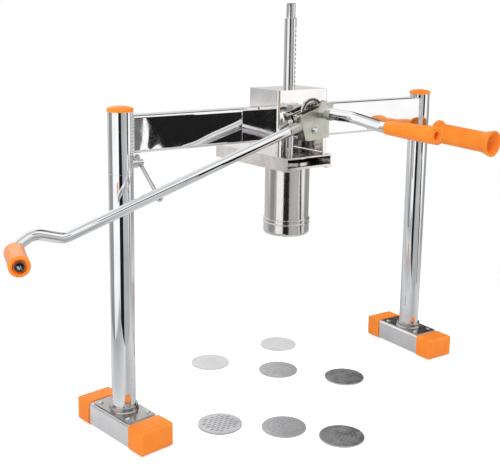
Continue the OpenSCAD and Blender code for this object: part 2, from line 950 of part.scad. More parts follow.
module piston() {
    color(satin) placed()
        difference() {
            rotate_extrude()
                polygon([
                    [0, piston_z],
                    [piston_r - rod_chamfer, piston_z],
                    [piston_r, piston_z + rod_chamfer],
                    [piston_r, piston_z + seal_h],
                    [piston_r - seal_h, piston_z + seal_h],
                    [piston_r - seal_h, piston_z + 2 * seal_h],
                    [piston_r, piston_z + 2 * seal_h],
                    [piston_r, piston_z + piston_h - rod_chamfer],
                    [piston_r - rod_chamfer, piston_z + piston_h],
                    [0, piston_z + piston_h]
                ]);
            translate([0, 0, piston_z + piston_h - rod_foot])
                cylinder(r = rod_foot_r, h = rod_foot + cut);
        }
}

module piston_seal() {
    color(white_plastic) placed()
        rotate_extrude()
            polygon([
                [piston_r - seal_h, piston_z + seal_h],
                [seal_r - rod_chamfer / 2, piston_z + seal_h],
                [seal_r, piston_z + seal_h + rod_chamfer / 2],
                [seal_r, piston_z + 2 * seal_h - rod_chamfer / 2],
                [seal_r - rod_chamfer / 2, piston_z + 2 * seal_h],
                [piston_r - seal_h, piston_z + 2 * seal_h]
            ]);
}

// Barrel and end cap

barrel_rim_h = 3;
carrier_z = tray_z + sheet;
carrier_side = tray_w / 2 - sheet - slip_gap;

// The barrel is welded into a flat carrier plate, which slides in the tray
module barrel() {
    color(chrome) placed()
        difference() {
            union() {
                translate([0, 0, barrel_z])
                    cylinder(r = barrel_r, h = carrier_z + carrier_t + barrel_rim_h - barrel_z);
                translate([-carrier_side, -tray_front, carrier_z])
                    cube([2 * carrier_side, tray_front + carrier_back, carrier_t]);
            }
            translate([0, 0, barrel_z - cut])
                cylinder(r = barrel_bore, h = tray_top - barrel_z);
        }
}

cap_wall = 2.2;
cap_floor = 2.5;
cap_round = 6;
cap_lip_h = 3;
cap_neck_h = 3.5;
cap_ridge_h = 3;
cap_groove = 0.9;
cap_r = barrel_r + run_fit + cap_wall;
cap_body_r = cap_r - cap_groove;
cap_z = barrel_z - die_t - slip_gap - cap_floor;
cap_top = cap_z + barrel_cap_h;
cap_ridge_z = cap_top - cap_lip_h - cap_neck_h - cap_ridge_h;

module barrel_cap() {
    color(chrome) placed()
        rotate_extrude()
            polygon([
                [barrel_mouth_r, cap_z],
                [cap_body_r - cap_round, cap_z],
                for (a = [-75:15:0])
                    [cap_body_r - cap_round + cap_round * cos(a), cap_z + cap_round + cap_round * sin(a)],
                [cap_body_r, cap_ridge_z],
                [cap_r, cap_ridge_z + cap_groove],
                [cap_r, cap_ridge_z + cap_ridge_h - cap_groove],
                [cap_body_r, cap_ridge_z + cap_ridge_h],
                [cap_body_r, cap_top - cap_lip_h],
                [cap_r, cap_top - cap_lip_h + cap_groove],
                [cap_r, cap_top - cap_groove / 2],
                [cap_r - cap_groove / 2, cap_top],
                [barrel_r + run_fit, cap_top],
                [barrel_r + run_fit, cap_z + cap_floor],
                [barrel_mouth_r, cap_z + cap_floor]
            ]);
}

// Crank: its own frame has x out along the crank rod, y towards the user and
// z up across the rod, with the drive shaft's axis at x = 0, z = 0

module crank_frame() {
    placed()
        translate([shaft_x, 0, shaft_z])
            rotate([0, -crank_tilt, 0])
                rotate([0, 0, 180])
                    children();
}

cheek_pts = rounded([
    [cheek_left + cheek_t, cheek_top],
    [-cheek_right, cheek_top],
    [-cheek_waist[0], -cheek_waist[1]],
    [-cheek_toe, -cheek_low_right],
    [cheek_left + cheek_t, -cheek_low_left]
], cheek_t);

module crank_bracket() {
    color(zinc)
        crank_frame()
            difference() {
                union() {
                    y_plate(cheek_pts, cheek_back, cheek_back + cheek_t);
                    y_plate(cheek_pts, cheek_front - cheek_t, cheek_front);
                    translate([cheek_left, cheek_back + cheek_t, -cheek_low_left + cheek_t])
                        cube([cheek_t, cheek_gap, cheek_top + cheek_low_left - 2 * cheek_t]);
                }
                y_cyl(0, 0, cheek_back - cut, cheek_front + cut, journal_r + run_fit);
                y_cyl(pawl_u, pawl_w, cheek_back - cut, cheek_front + cut, pawl_pin_r);
                for (w = bolt_ws)
                    translate([cheek_left - cut, crank_y, w])
                        rotate([0, 90, 0])
                            cylinder(r = socket_bolt_r, h = cheek_t + 2 * cut);
            }
}

socket_bolt_r = 2.5;
socket_bolt_head_r = 4.6;
socket_bolt_head_h = 4;
bolt_ws = [5, -27];

module crank_socket() {
    color(zinc)
        crank_frame()
            difference() {
                union() {
                    translate([cheek_left + cheek_t, cheek_back, -flange_low])
                        cube([flange_t, cheek_front - cheek_back, flange_top + flange_low]);
                    translate([socket_u, crank_y, -crank_drop])
                        rotate([0, 90, 0])
                            cylinder(r = socket_r, h = socket_len);
                }
                translate([socket_u, crank_y, -crank_drop])
                    rotate([0, 90, 0])
                        cylinder(r = crank_rod_r, h = socket_len + cut);
                for (w = bolt_ws)
                    translate([cheek_left, crank_y, w])
                        rotate([0, 90, 0])
                            cylinder(r = socket_bolt_r, h = cheek_t + flange_t + cut);
            }
}

module socket_bolts() {
    color(steel)
        crank_frame()
            for (w = bolt_ws)
                translate([cheek_left, crank_y, w])
                    rotate([0, 90, 0]) {
                        cylinder(r = socket_bolt_r, h = cheek_t + flange_t);
                        translate([0, 0, cheek_t + flange_t])
                            cylinder(r = socket_bolt_head_r, h = socket_bolt_head_h, $fn = 6);
                        translate([0, 0, -socket_bolt_head_h])
                            cylinder(r = socket_bolt_head_r, h = socket_bolt_head_h, $fn = 6);
                    }
}

pawl_head_h = 4.5;
pawl_head_r = 6;

module pawl_bolt() {
    color(steel)
        crank_frame() {
            y_cyl(pawl_u, pawl_w, cheek_back - cheek_t / 2, cheek_front, pawl_pin_r);
            translate([pawl_u, cheek_front + pawl_head_h, pawl_w])
                rotate([90, 0, 0])
                    rotate_extrude()
                        polygon([
                            [0, 0],
                            [pawl_head_r * 0.6, 0],
                            [pawl_head_r, pawl_head_h * 0.6],
                            [pawl_head_r, pawl_head_h],
                            [0, pawl_head_h]
                        ]);
        }
}

// The pawl is drawn lifted clear of the ratchet wheel
pawl_boss_r = 6;
pawl_bar_t = 4;
pawl_neck = 12;
pawl_nose = 2;
pawl_hook = 1.5;

module drive_pawl() {
    color(dark)
        crank_frame()
            translate([pawl_u, crank_y + pawl_t / 2, pawl_w])
                rotate([90, 0, 0])
                    rotate([0, 0, pawl_in_deg + pawl_lift_deg])
                        linear_extrude(pawl_t)
                            difference() {
                                union() {
                                    circle(r = pawl_boss_r);
                                    polygon([
                                        [0, -pawl_boss_r],
                                        [pawl_neck, 0],
                                        [pawl_len - pawl_nose, pawl_hook],
                                        [pawl_len, 0],
                                        [pawl_len, pawl_bar_t],
                                        [0, pawl_boss_r]
                                    ]);
                                }
                                circle(r = pawl_pin_r + run_fit);
                            }
}

// Crank rod: from its socket to the bend, up, and then forward as the axle
crank_step_u = 40;
crank_step_w = 26.6;
crank_end_u = 35;
crank_end_y = 2.5;
crank_end_w = -6.5;
axle_dir = unit([0.28, 0.956, 0.0855]);
axle_r = 5;
axle_bore_r = 3.6;
axle_bore_len = 8;
roller_gap = 4;
crank_pts = [
    [socket_u, crank_y, -crank_drop],
    [crank_reach, crank_y, -crank_drop],
    [crank_reach + crank_step_u, crank_y, -crank_drop + crank_step_w],
    [crank_reach + crank_step_u + crank_end_u, crank_y + crank_end_y, -crank_drop + crank_step_w + crank_end_w]
];
crank_bend_r = 30;
axle_bend_r = 16;
axle_start = crank_pts[3];
crank_end = axle_start + axle_dir * (roller_gap + axle_bend_r);

module crank_rod() {
    color(chrome)
        crank_frame() {
            bent_bar(concat(crank_pts, [crank_end]), crank_rod_r, [crank_bend_r, crank_bend_r, axle_bend_r]);
            aim(crank_end - axle_dir * cut, axle_dir, [0, 0, 1])
                difference() {
                    cylinder(r = axle_r, h = cut + roller_len);
                    translate([0, 0, cut + roller_len - axle_bore_len])
                        cylinder(r = axle_bore_r, h = axle_bore_len + cut);
                }
        }
}

roller_nut_h = 4;
roller_nut_r = 6.8;
roller_round = 3;
roller_waist = 0.5;
roller_recess_r = 9.8;
roller_recess = roller_nut_h + slip_gap;

module roller_grip() {
    color(orange)
        crank_frame()
            aim(crank_end + axle_dir * slip_gap, axle_dir, [0, 0, 1])
                rotate_extrude()
                    polygon([
                        [axle_r + run_fit, 0],
                        [roller_r - roller_round, 0],
                        for (a = [-75:15:0])
                            [roller_r - roller_round + roller_round * cos(a), roller_round + roller_round * sin(a)],
                        [roller_r - roller_waist, roller_len / 2],
                        for (a = [0:15:75])
                            [roller_r - roller_round + roller_round * cos(a), roller_len - roller_round + roller_round * sin(a)],
                        [roller_r - roller_round, roller_len],
                        [roller_recess_r, roller_len],
                        [roller_recess_r, roller_len - roller_recess],
                        [axle_r + run_fit, roller_len - roller_recess]
                    ]);
}

module roller_nut() {
    color(steel)
        crank_frame()
            aim(crank_end + axle_dir * (roller_len + 2 * slip_gap - roller_recess), axle_dir, [0, 0, 1])
                difference() {
                    cylinder(r = roller_nut_r, h = roller_nut_h);
                    translate([0, 0, -cut])
                        cylinder(r = axle_r, h = roller_nut_h + 2 * cut);
                }
}

// Side handle: a hub on the front cheek, a lock nut, a bent tube and a grip
hub_end = cheek_front + hub_len;
stud_r = 5;

module crank_hub() {
    color(zinc)
        crank_frame()
            difference() {
                y_cyl(0, 0, cheek_front, hub_end, hub_r);
                y_cyl(0, 0, cheek_front - cut, journal_end + slip_gap, journal_r + run_fit);
                y_cyl(0, 0, journal_end, hub_end + cut, stud_r);
            }
}

module lock_nut() {
    color(steel)
        crank_frame()
            difference() {
                translate([0, hub_end + lock_nut_len, 0])
                    rotate([90, 0, 0])
                        cylinder(r = lock_nut_r, h = lock_nut_len, $fn = 6);
                y_cyl(0, 0, hub_end - cut, hub_end + lock_nut_len + cut, stud_r);
            }
}

side_bend_y = 140;
side_bend_in_y = 187;
side_bend_r = 40;
side_drop_x = 20;
side_drop_z = 12;
side_grip_floor = 12;
// the side handle is written in the object's own directions, from the shaft
side_pts = [
    [0, -hub_end - lock_nut_len, 0],
    [0, -side_bend_y, 0],
    [side_drop_x, -side_bend_in_y, -side_drop_z],
    [side_drop_x, -side_end_y + side_grip_floor, -side_drop_z - side_drop_z / 12]
];

module side_frame() {
    placed()
        translate([shaft_x, 0, shaft_z])
            children();
}

side_wall = 2;
side_plug = 12;

module side_handle_tube() {
    color(chrome)
        side_frame() {
            difference() {
                bent_bar(side_pts, side_bar_r, [side_bend_r, side_bend_r]);
                bent_bar(
                    [
                        side_pts[0] - [0, side_plug, 0],
                        side_pts[1],
                        side_pts[2],
                        side_pts[3] + unit(side_pts[3] - side_pts[2]) * cut
                    ],
                    side_bar_r - side_wall,
                    [side_bend_r, side_bend_r]
                );
            }
            y_cyl(0, 0, -hub_end - lock_nut_len - cut, -journal_end - 2 * slip_gap, stud_r);
        }
}

grip_rib = 1;
grip_hole_r = 6.5;
grip_hole_len = 7;
grip_neck_r = 11;
grip_full_share = 0.45;
side_grip_dir = unit(side_pts[3] - side_pts[2]);
side_grip_start = side_pts[3] - side_grip_dir * (side_grip_len - side_grip_floor);

module side_handle_grip() {
    color(orange)
        side_frame()
            aim(side_grip_start, side_grip_dir, [0, 0, 1])
                rotate_extrude()
                    polygon([
                        [side_bar_r, 0],
                        [grip_neck_r, 0],
                        [side_grip_r - grip_rib, side_grip_len * grip_full_share],
                        [side_grip_r, side_grip_len - 2 * grip_rib],
                        [side_grip_r - 2 * grip_rib, side_grip_len],
                        [grip_hole_r, side_grip_len],
                        [grip_hole_r, side_grip_len - grip_hole_len],
                        [0, side_grip_len - grip_hole_len],
                        [0, side_grip_len - side_grip_floor],
                        [side_bar_r, side_grip_len - side_grip_floor]
                    ]);
}

// Big grip on a stub on the right post
stub_r = 11;
stub_turn = 6;
stub_tilt = 4;
stub_rise = 11;
stub_side = 7;
stub_share = 0.8;
flare_share = 0.84;
stub_out = 21;
big_rim = 5.5;
big_flange_r = big_grip_r + big_rim;
big_flange_t = 5;
big_flare_r = big_grip_r + big_rim;
big_grip_wall = 3;
stub_dir = unit([sin(stub_turn), -cos(stub_turn), -sin(stub_tilt)]);
stub_reach = post_r + stub_out + big_grip_len;

module at_stub() {
    placed()
        translate([right_x + stub_side, beam_back, clamp_z + stub_rise])
            children();
}

module big_grip_stub() {
    color(chrome)
        at_stub()
            difference() {
                aim([0, 0, 0], stub_dir, [0, 0, 1])
                    cylinder(r = stub_r, h = post_r + stub_out + big_grip_len * stub_share);
                aim([0, 0, 0], stub_dir, [0, 0, 1])
                    cylinder(r = stub_r - side_wall, h = 2 * stub_reach);
                translate([-stub_side, 0, -post_d])
                    cylinder(r = post_r + weld_gap, h = 2 * post_d);
                translate([-2 * post_d, 0, -post_d])
                    cube([4 * post_d, 2 * post_d, 2 * post_d]);
            }
}

module big_grip() {
    color(orange)
        at_stub()
            aim([0, 0, 0] + stub_dir * (post_r + stub_out), stub_dir, [0, 0, 1])
                rotate_extrude()
                    polygon([
                        [big_flange_r - grip_rib, 0],
                        [big_flange_r, grip_rib],
                        [big_flange_r, big_flange_t],
                        [big_grip_r, big_flange_t + 2 * grip_rib],
                        [big_grip_r, big_grip_len * flare_share],
                        [big_flare_r, big_grip_len - big_grip_wall],
                        [big_flare_r, big_grip_len],
                        [big_flare_r - big_grip_wall, big_grip_len],
                        [stub_r, big_grip_len * flare_share],
                        [stub_r, 0]
                    ]);
}

// Loose discs, laid on the floor between the legs
plain_at = [[-34, 187], [140, 185]];
large_at = [54, 79];
grid_at = [137, -22];
slots_at = [-173, -43];
medium_at = [-91, -115];
small_at = [-34, -197];

module disc_at(p) {
    placed()
        translate([p[0], p[1], 0])
            linear_extrude(die_t)
                difference() {
                    circle(r = die_r);
                    children();
                }
}

module plain_discs() {
    color(white_plastic)
        for (p = plain_at)
            disc_at(p);
}

large_hole_r = 3.1;
large_pitch_x = 13.4;
large_pitch_y = 12.6;
large_rows = [3, 4, 5, 4, 3];

module die_large_holes() {
    color(steel)
        disc_at(large_at)
            for (row = [0:len(large_rows) - 1], i = [0:large_rows[row] - 1])
                translate([(i - (large_rows[row] - 1) / 2) * large_pitch_x, (row - 2) * large_pitch_y])
                    circle(r = large_hole_r, $fn = 32);
}

grid_pitch = 7;
grid_hole_r = 1.4;
grid_margin = 6;
grid_reach = die_r - grid_margin;

module die_square_grid() {
    color(steel)
        disc_at(grid_at)
            for (i = [-4:4], j = [-4:4])
                if (norm([i, j]) * grid_pitch < grid_reach)
                    translate([i * grid_pitch, j * grid_pitch])
                        circle(r = grid_hole_r, $fn = 24);
}

slot_w = 3;
slot_l = 9;
slot_pitch_x = 12.5;
slot_pitch_y = 6;
slot_margin = 7;
slot_reach = die_r - slot_margin;

module die_slots() {
    color(steel)
        disc_at(slots_at)
            for (i = [-2:0.5:2], j = [-5:5])
                if (abs((2 * i + j) % 2) == 0 && norm([abs(i) * slot_pitch_x + slot_l / 4, j * slot_pitch_y]) < slot_reach)
                    translate([i * slot_pitch_x, j * slot_pitch_y]) {
                        square([slot_l - slot_w, slot_w], center = true);
                        for (s = [-1, 1])
                            translate([s * (slot_l - slot_w) / 2, 0])
                                circle(r = slot_w / 2, $fn = 24);
                    }
}

module ring_holes(radii, counts, r) {
    for (k = [0:len(radii) - 1], i = [0:counts[k] - 1])
        rotate([0, 0, (i + (k % 2) / 2) * 360 / counts[k]])
            translate([radii[k], 0])
                circle(r = r, $fn = 24);
}

medium_radii = [0, 9, 18, 27];
medium_counts = [1, 6, 12, 18];
medium_hole_r = 2;

module die_medium_holes() {
    color(steel)
        disc_at(medium_at)
            ring_holes(medium_radii, medium_counts, medium_hole_r);
}

small_radii = [0, 7, 14, 21, 28];
small_counts = [1, 6, 12, 18, 24];
small_hole_r = 1.5;

module die_small_holes() {
    color(steel)
        disc_at(small_at)
            ring_holes(small_radii, small_counts, small_hole_r);
}

// Extent of the object from the press axis, which sets the frame's shift
axle_x = -axle_dir[0] * cos(crank_tilt) - axle_dir[2] * sin(crank_tilt);
grip_far = crank_end + axle_dir * (slip_gap + roller_len - roller_round);
grip_far_x = shaft_x - grip_far[0] * cos(crank_tilt) - grip_far[2] * sin(crank_tilt);
reach_left = grip_far_x - roller_round - (roller_r - roller_round) * sqrt(1 - axle_x ^ 2);
reach_right = right_x + stub_side + stub_reach * stub_dir[0] + big_flare_r * abs(stub_dir[1]);
reach_front = -side_end_y;
reach_back = plain_at[0][1] + die_r;
frame_shift = [-(reach_left + reach_right) / 2, -(reach_front + reach_back) / 2, 0];

beam();
left_sleeve();
right_sleeve();
post_caps();
clamp_bosses();
head_shell();
head_front();
head_top();
head_inner_plate();
rod_bush();
tray();
bearing_housing();
bearing_outer_ring();
bearing_balls();
bearing_inner_ring();
rear_bush();
drive_shaft();
drive_pinion();
ratchet_wheel();
shaft_spacers();
plunger_rod();
piston();
piston_seal();
crank_bracket();
crank_socket();
socket_bolts();
pawl_bolt();
drive_pawl();
crank_rod();
roller_grip();
roller_nut();
crank_hub();
lock_nut();
side_handle_tube();
side_handle_grip();
big_grip_stub();
big_grip();
barrel();
barrel_cap();
left_leg();
left_collar();
left_collar_screws();
left_foot_tube();
left_foot_caps();
right_leg();
right_collar();
right_collar_screws();
right_foot_tube();
right_foot_caps();
left_clamp_screw();
left_tommy_bar();
right_clamp_screw();
right_tommy_bar();
plain_discs();
die_large_holes();
die_square_grid();
die_slots();
die_medium_holes();
die_small_holes();
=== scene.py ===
"""Looks for the hand cranked pasta press: a pale studio, its camera, and the
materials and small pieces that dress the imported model. Lengths are metres."""

import json
from math import atan2, cos, pi, radians, sin

import bmesh
import bpy
from mathutils import Matrix, Vector


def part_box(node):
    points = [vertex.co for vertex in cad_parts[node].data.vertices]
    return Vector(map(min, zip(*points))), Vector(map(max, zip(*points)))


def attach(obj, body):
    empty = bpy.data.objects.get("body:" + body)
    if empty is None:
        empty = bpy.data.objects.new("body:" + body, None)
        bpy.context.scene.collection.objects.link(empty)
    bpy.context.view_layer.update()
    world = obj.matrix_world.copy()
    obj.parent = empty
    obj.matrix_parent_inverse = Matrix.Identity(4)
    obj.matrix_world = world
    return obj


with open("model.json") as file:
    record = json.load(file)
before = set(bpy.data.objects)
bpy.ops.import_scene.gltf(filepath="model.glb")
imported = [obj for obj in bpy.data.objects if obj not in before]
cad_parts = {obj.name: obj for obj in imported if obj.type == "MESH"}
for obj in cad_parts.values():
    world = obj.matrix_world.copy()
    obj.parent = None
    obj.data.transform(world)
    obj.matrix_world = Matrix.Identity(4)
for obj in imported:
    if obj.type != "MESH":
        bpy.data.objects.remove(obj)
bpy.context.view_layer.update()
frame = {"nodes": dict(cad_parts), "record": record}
nodes = frame["nodes"]
scene = bpy.context.scene

# Press axis in the row frame: the middle of the plunger rod
rod_low, rod_high = (Vector(c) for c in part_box("plunger_rod"))
PRESS = Vector(((rod_low.x + rod_high.x) / 2, (rod_low.y + rod_high.y) / 2, 0))


# Camera, at the place found from the photograph's straight edges
CAM_PLACE = Vector((-0.9685, -1.1568, 0.6820))
CAM_YAW = radians(37.26)
CAM_PITCH = radians(10.42)
CAM_ROLL = radians(0.81)
FOCAL_PX = 859.68
FRAME_W = 500
FRAME_H = 464
CENTRE_PX = (247.65, 177.01)
SENSOR_MM = 36
VIEW_END = 20


def make_camera():
    look = Vector((sin(CAM_YAW) * cos(CAM_PITCH), cos(CAM_YAW) * cos(CAM_PITCH), -sin(CAM_PITCH)))
    right = Vector((cos(CAM_YAW), -sin(CAM_YAW), 0))
    up = right.cross(look)
    right_r = right * cos(CAM_ROLL) + up * sin(CAM_ROLL)
    up_r = up * cos(CAM_ROLL) - right * sin(CAM_ROLL)
    turn = Matrix((right_r, up_r, -look)).transposed()
    data = bpy.data.cameras.new("camera")
    data.sensor_width = SENSOR_MM
    data.lens = SENSOR_MM * FOCAL_PX / FRAME_W
    data.shift_x = (FRAME_W / 2 - CENTRE_PX[0]) / FRAME_W
    data.shift_y = (CENTRE_PX[1] - FRAME_H / 2) / FRAME_W
    data.clip_end = VIEW_END
    cam = bpy.data.objects.new("camera", data)
    cam.matrix_world = Matrix.Translation(CAM_PLACE + PRESS) @ turn.to_4x4()
    scene.collection.objects.link(cam)
    scene.camera = cam


# Node helpers. The noise's useful values lie in these spans
ROUGH_SPAN = (0.35, 0.65)
TINT_SPAN = (0.3, 0.7)


def node_tree(material):
    material.use_nodes = True
    tree = material.node_tree
    tree.nodes.clear()
    return tree


def add(tree, kind, **values):
    """Adds a node. Attributes are set by name, and inputs by name after in_."""
    node = tree.nodes.new(kind)
    for key, value in values.items():
        if key.startswith("in_"):
            node.inputs[key[3:].replace("_", " ")].default_value = value
        else:
            setattr(node, key, value)
    return node


def wire(tree, source, out, target, into):
    tree.links.new(source.outputs[out], target.inputs[into])


def maths(tree, operation, a, b=None):
    """A Math node on sockets or numbers, and its result socket."""
    node = tree.nodes.new("ShaderNodeMath")
    node.operation = operation
    for socket, value in zip(node.inputs, (a, b)):
        if value is None:
            continue
        if isinstance(value, (int, float)):
            socket.default_value = value
        else:
            tree.links.new(value, socket)
    return node.outputs[0]


def ramp(tree, factor, stops, interpolation="LINEAR"):
    node = tree.nodes.new("ShaderNodeValToRGB")
    node.color_ramp.interpolation = interpolation
    elements = node.color_ramp.elements
    while len(elements) > 1:
        elements.remove(elements[-1])
    for i, (place, value) in enumerate(stops):
        item = elements[0] if i == 0 else elements.new(place)
        item.position = place
        colour = value if isinstance(value, tuple) else (value, value, value)
        item.color = (*colour, 1)
    tree.links.new(factor, node.inputs[0])
    return node


def noise(tree, scale, detail=2.0, stretch=(1, 1, 1)):
    """Noise in the object's own metres; stretch squeezes it along an axis."""
    coords = add(tree, "ShaderNodeTexCoord")
    mapping = add(tree, "ShaderNodeMapping", in_Scale=stretch)
    wire(tree, coords, "Object", mapping, "Vector")
    texture = add(tree, "ShaderNodeTexNoise", in_Scale=scale, in_Detail=detail)
    wire(tree, mapping, "Vector", texture, "Vector")
    return texture


def scaled(tree, texture, low, high):
    """The texture's value, remapped from its useful middle to low..high."""
    node = add(tree, "ShaderNodeMapRange", in_From_Min=ROUGH_SPAN[0], in_From_Max=ROUGH_SPAN[1],
               in_To_Min=low, in_To_Max=high)
    wire(tree, texture, 0, node, "Value")
    return node


def tinted(tree, texture, dark, light):
    return ramp(tree, texture.outputs[0], ((TINT_SPAN[0], dark), (TINT_SPAN[1], light)))


def shaded(name, build):
    material = bpy.data.materials.new(name)
    tree = node_tree(material)
    out = add(tree, "ShaderNodeOutputMaterial")
    shader = add(tree, "ShaderNodeBsdfPrincipled")
    wire(tree, shader, "BSDF", out, "Surface")
    build(tree, shader)
    return material


def bump(tree, shader, texture, distance, strength=1.0, under=None):
    node = add(tree, "ShaderNodeBump", in_Strength=strength, in_Distance=distance)
    wire(tree, texture, 0, node, "Height")
    if under is not None:
        wire(tree, under, "Normal", node, "Normal")
    wire(tree, node, "Normal", shader, "Normal")
    return node


# Noise scales: of metal's smudges, its roughness and its grain, then of
# plastic's tint, its roughness and its grain
METAL_SMUDGE, METAL_ROUGH, METAL_GRAIN = 22, 60, 900
PLASTIC_TINT, PLASTIC_ROUGH, PLASTIC_GRAIN = 35, 120, 1500
COAT_ROUGH = 0.12


def metal(name, dark, light, rough, wave, grain=0.0, grain_stretch=(1, 1, 1), wave_scale=9):
    """Polished or brushed metal: a tint that varies a little, smudges in the
    roughness, a slow waviness in the sheet and, if asked, a fine grain."""
    def build(tree, shader):
        shader.inputs["Metallic"].default_value = 1.0
        smudge = noise(tree, METAL_SMUDGE, 4)
        wire(tree, tinted(tree, smudge, dark, light), "Color", shader, "Base Color")
        wire(tree, scaled(tree, noise(tree, METAL_ROUGH, 5), *rough), 0, shader, "Roughness")
        under = bump(tree, shader, noise(tree, wave_scale, 1), wave)
        if grain:
            bump(tree, shader, noise(tree, METAL_GRAIN, 3, grain_stretch), grain, under=under)
    return shaded(name, build)


def plastic(name, dark, light, rough, grain, specular=0.4, coat=0.0):
    """Moulded plastic or rubber with a fine grain and, if asked, a glossy coat."""
    def build(tree, shader):
        shader.inputs["Specular IOR Level"].default_value = specular
        shader.inputs["Coat Weight"].default_value = coat
        shader.inputs["Coat Roughness"].default_value = COAT_ROUGH
        wire(tree, tinted(tree, noise(tree, PLASTIC_TINT, 4), dark, light), "Color", shader, "Base Color")
        wire(tree, scaled(tree, noise(tree, PLASTIC_ROUGH, 4), *rough), 0, shader, "Roughness")
        bump(tree, shader, noise(tree, PLASTIC_GRAIN, 3), grain)
    return shaded(name, build)


def make_materials():
    chrome = metal("chrome", (0.80, 0.81, 0.83), (0.88, 0.89, 0.90), (0.02, 0.06), 0.0006)
    beam_chrome = metal("beam_chrome", (0.82, 0.82, 0.83), (0.88, 0.88, 0.89), (0.02, 0.05), 0.0012,
                        wave_scale=14)
    sheet = metal("head_sheet", (0.80, 0.76, 0.74), (0.88, 0.86, 0.85), (0.05, 0.12), 0.0010)
    polished = metal("polished_steel", (0.72, 0.69, 0.67), (0.80, 0.77, 0.75), (0.12, 0.17), 0.0004,
                     0.000004, (0.03, 0.03, 1.5))
    rack = metal("rack_steel", (0.74, 0.74, 0.75), (0.82, 0.82, 0.83), (0.06, 0.14), 0.0002,
                 0.000003, (1, 1, 0.05))
    tray = metal("tray_sheet", (0.78, 0.73, 0.70), (0.90, 0.86, 0.84), (0.18, 0.28), 0.0008)
    collar = metal("collar_steel", (0.36, 0.34, 0.33), (0.56, 0.54, 0.52), (0.16, 0.30), 0.0006)
    satin = metal("foot_steel", (0.80, 0.80, 0.82), (0.90, 0.90, 0.92), (0.24, 0.34), 0.0006,
                  0.00001, (1, 0.05, 1))
    zinc = metal("zinc_plate", (0.60, 0.60, 0.52), (0.74, 0.74, 0.66), (0.28, 0.42), 0.0004,
                 0.000012, (1, 1, 1))
    bright = metal("bright_steel", (0.66, 0.66, 0.67), (0.76, 0.76, 0.77), (0.14, 0.24), 0.0002,
                   0.000008, (1, 1, 1))
    dark = metal("oiled_steel", (0.10, 0.10, 0.11), (0.20, 0.19, 0.19), (0.28, 0.42), 0.0002,
                 0.000012, (1, 1, 1))
    bronze = metal("bronze", (0.48, 0.32, 0.13), (0.62, 0.44, 0.20), (0.22, 0.34), 0.0001,
                   0.000008, (1, 1, 0.05))
    die = metal("die_steel", (0.58, 0.58, 0.60), (0.70, 0.70, 0.71), (0.22, 0.34), 0.0003,
                0.000008, (1, 0.05, 1))
    orange = plastic("orange_rubber", (0.96, 0.24, 0.012), (1.0, 0.29, 0.022), (0.36, 0.50), 0.000018,
                     0.35)
    roller = plastic("orange_plastic", (0.96, 0.24, 0.012), (1.0, 0.29, 0.022), (0.24, 0.34), 0.000010,
                     0.5, 0.2)
    seal = plastic("seal_plastic", (0.72, 0.72, 0.70), (0.80, 0.80, 0.78), (0.4, 0.5), 0.00001)
    disc = plastic("disc_plastic", (0.66, 0.66, 0.66), (0.74, 0.74, 0.74), (0.35, 0.5), 0.00001)
    return {
        "tray": tray, "collar": collar,
        "chrome_frame": chrome, "beam": beam_chrome, "head_chrome": sheet, "polished_steel": polished,
        "rack": rack, "foot_steel": satin, "zinc": zinc, "bright_steel": bright,
        "dark_steel": dark, "bronze": bronze, "disc_steel": die,
        "orange_rubber": orange, "roller_plastic": roller,
        "seal_plastic": seal, "disc_plastic": disc,
    }


NODE_LOOK = {"beam": "beam", "plunger_rod": "rack", "tray": "tray",
             "left_collar": "collar", "right_collar": "collar"}


def dress_nodes(looks):
    slot_of = {part["node"]: part["material_slot"] for part in frame["record"]["subparts"]}
    for name, obj in nodes.items():
        look = looks[NODE_LOOK.get(name, slot_of[name])]
        obj.data.materials.clear()
        obj.data.materials.append(look)


# Pieces that the photo shows and the CAD keeps plain, in millimetres from the
# press axis and the floor
MM = 0.001
MERGE_DISTANCE = 1e-7
SMOOTH_BELOW = radians(35)
ROUND_STEPS = 96

# Head: front face, sheet thickness, and the closed part of the front wall
FRONT_Y = -37
SHEET = 2.5
PANEL_X = (-46, 4)
PANEL_Z = (497, 551)
PANEL_LIP = 6
FOLD_STEPS = 9

# Front bearing on the shaft's axis (x, z): (radius, distance from the wall)
SHAFT = (21, 525)
COLLAR = ((16.2, 0), (16.2, 1.9), (16.7, 2.3), (18.6, 2.3), (19.1, 1.9), (19.3, 0.7), (22.8, 0.7),
          (23.1, 1.7), (23.6, 2.1), (24.2, 1.7), (24.6, 0))
COLLAR_SHIELD = ((19.35, 0.2), (19.35, 1.0), (20.2, 1.25), (22.0, 1.25), (22.75, 1.0), (22.75, 0.2))

# Bolt on the crank's socket: its place in the crank's own frame, turned by the
# crank's tilt, and the profiles of its neck and hexagonal head
CRANK_TILT = radians(17)
BOLT_AT = (60, 50, -1.2)
NECK_STEPS = 40
BOLT_NECK = ((0, 0), (4.2, 0), (4.2, 1.0), (3.0, 1.4), (2.9, 5.0), (0, 5.0))
BOLT_HEAD = ((0, 4.6), (4.1, 4.6), (4.75, 5.1), (4.75, 8.2), (4.1, 8.9), (0, 8.9))
HEX_SIDES = 6

# Weld beads between the beam's front and the sleeves
WELD_XS = (-304.3, 358.3)
WELD_Y = 14.0
WELD_Z = (472, 530)
WELD_R = 1.9
WELD_RIPPLE = 0.3
WELD_RIPPLE_ROWS = 9
WELD_ROWS_PER_MM = 4
WELD_STEPS = 20


